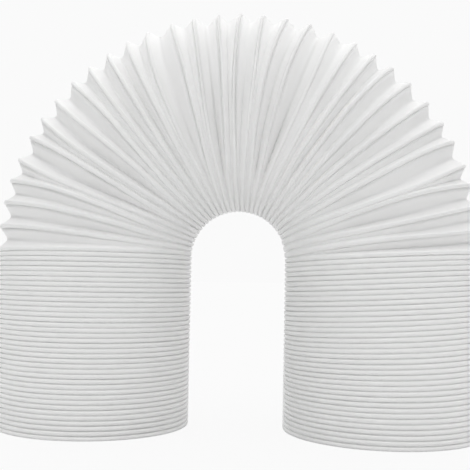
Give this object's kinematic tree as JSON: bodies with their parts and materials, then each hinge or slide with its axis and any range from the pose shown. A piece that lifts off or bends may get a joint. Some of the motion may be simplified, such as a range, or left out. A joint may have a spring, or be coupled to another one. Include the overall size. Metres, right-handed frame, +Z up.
{
  "type": "air conditioner exhaust hose",
  "caption": "Pleated white plastic duct bent into an arch on its two open ends, which carries warm air from a portable air conditioner.",
  "frame": {"origin": "on the floor, halfway between the two open ends", "axes": "+X runs from the left leg to the right leg, +Z is up, and Y is level and square to the arch"},
  "size_m": [0.3734, 0.15, 0.3199],
  "materials": {
    "white_plastic": "satin"
  },
  "bodies": {
    "root": {"hose": "white_plastic"}
  },
  "joints": []
}
